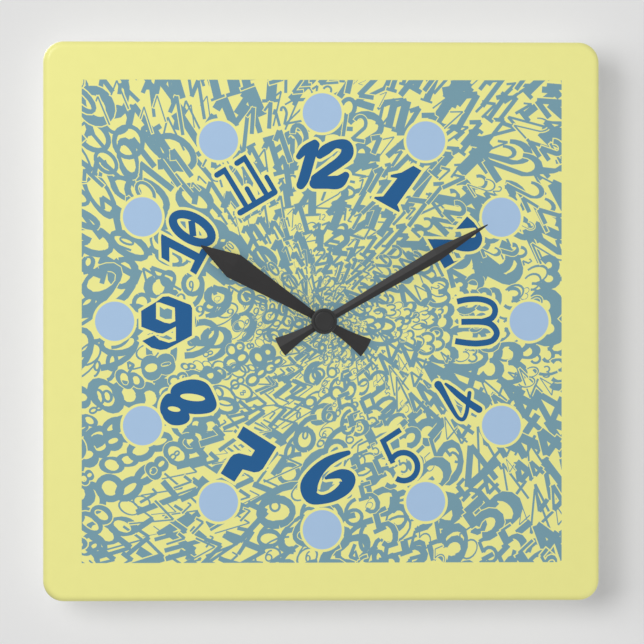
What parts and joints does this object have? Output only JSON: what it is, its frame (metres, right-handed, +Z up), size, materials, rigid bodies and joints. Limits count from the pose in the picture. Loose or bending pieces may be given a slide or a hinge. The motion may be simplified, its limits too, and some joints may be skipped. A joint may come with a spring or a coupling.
{
  "type": "wall clock",
  "caption": "Square analogue wall clock: rounded yellow plate with a printed number collage, two dark hands and a battery quartz movement with a hanger behind.",
  "frame": {"origin": "centre of the hanger hole on the wall plane, which is the rear face of the movement", "axes": "+X to the right and +Z up as seen from the front; +Y points into the wall, so the dial faces -Y"},
  "size_m": [0.273, 0.0322, 0.273],
  "materials": {
    "yellow_acrylic": "polished acrylic, pale yellow",
    "printed_dial": "gloss print in pale yellow, grey blue, dark blue and light blue",
    "black_rubber": "matt black rubber",
    "brass": "turned brass",
    "case_plastic": "fine spark-eroded black moulding",
    "cover_plastic": "fine spark-eroded black moulding",
    "white_plastic": "natural acetal",
    "soft_iron": "stamped soft iron",
    "bobbin_plastic": "moulded nylon",
    "copper_wire": "enamelled copper wire, wound",
    "board": "green solder mask",
    "resin": "black resin drop",
    "crystal_can": "drawn can",
    "contact_steel": "nickel plated spring steel",
    "hand_plastic": "satin dark grey",
    "hub_plastic": "satin dark grey",
    "knob_plastic": "satin black",
    "arbor_steel": "ground steel",
    "magnet": "sintered magnet",
    "battery_steel": "plated steel",
    "battery_wrap": "shrink sleeve"
  },
  "bodies": {
    "clock": {"face_plate": "yellow_acrylic", "dial_print": "printed_dial", "rubber_washer": "black_rubber", "brass_washer": "brass", "hex_nut": "brass", "threaded_bushing": "brass", "movement_case": "case_plastic", "rear_cover": "cover_plastic", "train_bridge": "white_plastic", "stator": "soft_iron", "coil_core": "soft_iron", "coil_bobbin": "bobbin_plastic", "coil_winding": "copper_wire", "circuit_board": "board", "timing_chip": "resin", "quartz_crystal": "crystal_can", "positive_contact": "contact_steel", "negative_contact": "contact_steel"},
    "minute_train": {"centre_wheel": "white_plastic", "minute_shaft": "white_plastic", "minute_hand": "hand_plastic", "hub_cap": "hub_plastic"},
    "hour_train": {"hour_wheel": "white_plastic", "hour_hand": "hand_plastic"},
    "minute_works": {"minute_works_wheel": "white_plastic"},
    "setting_stem": {"setting_shaft": "knob_plastic", "setting_knob": "knob_plastic"},
    "third": {"third_wheel": "white_plastic"},
    "second": {"second_wheel": "white_plastic", "second_arbor": "arbor_steel"},
    "intermediate": {"intermediate_wheel": "white_plastic"},
    "rotor": {"rotor_pinion": "white_plastic", "rotor_magnet": "magnet"},
    "battery": {"battery_can": "battery_steel", "battery_sleeve": "battery_wrap"}
  },
  "joints": [
    {"name": "minute", "type": "hinge", "parent": "clock", "child": "minute_train", "pos_m": [0, 0, -0.033], "axis": [0, 1, 0], "continuous": true},
    {"name": "hour", "type": "hinge", "parent": "clock", "child": "hour_train", "pos_m": [0, 0, -0.033], "axis": [0, 1, 0], "continuous": true},
    {"name": "minute_works_turn", "type": "hinge", "parent": "clock", "child": "minute_works", "pos_m": [0.00945, 0, -0.03467], "axis": [0, 1, 0], "continuous": true},
    {"name": "setting_turn", "type": "hinge", "parent": "clock", "child": "setting_stem", "pos_m": [0.01891, 0, -0.033], "axis": [0, 1, 0], "continuous": true},
    {"name": "third_turn", "type": "hinge", "parent": "clock", "child": "third", "pos_m": [0.0054, 0, -0.02365], "axis": [0, 1, 0], "continuous": true},
    {"name": "second_turn", "type": "hinge", "parent": "clock", "child": "second", "pos_m": [0, 0, -0.033], "axis": [0, 1, 0], "continuous": true},
    {"name": "intermediate_turn", "type": "hinge", "parent": "clock", "child": "intermediate", "pos_m": [-0.00697, 0, -0.02469], "axis": [0, 1, 0], "continuous": true},
    {"name": "rotor_turn", "type": "hinge", "parent": "clock", "child": "rotor", "pos_m": [-0.01117, 0, -0.01741], "axis": [0, 1, 0], "continuous": true},
    {"name": "battery_out", "type": "slide", "parent": "clock", "child": "battery", "axis": [0, 1, 0], "range_m": [0, 0.02]}
  ],
  "couplings": [
    {"joint": "hour", "follows": "minute", "ratio": 0.083333},
    {"joint": "minute_works_turn", "follows": "minute", "ratio": -0.33333},
    {"joint": "setting_turn", "follows": "minute", "ratio": 1},
    {"joint": "third_turn", "follows": "minute", "ratio": -8},
    {"joint": "second_turn", "follows": "minute", "ratio": 60},
    {"joint": "intermediate_turn", "follows": "minute", "ratio": -360},
    {"joint": "rotor_turn", "follows": "minute", "ratio": 1800}
  ]
}
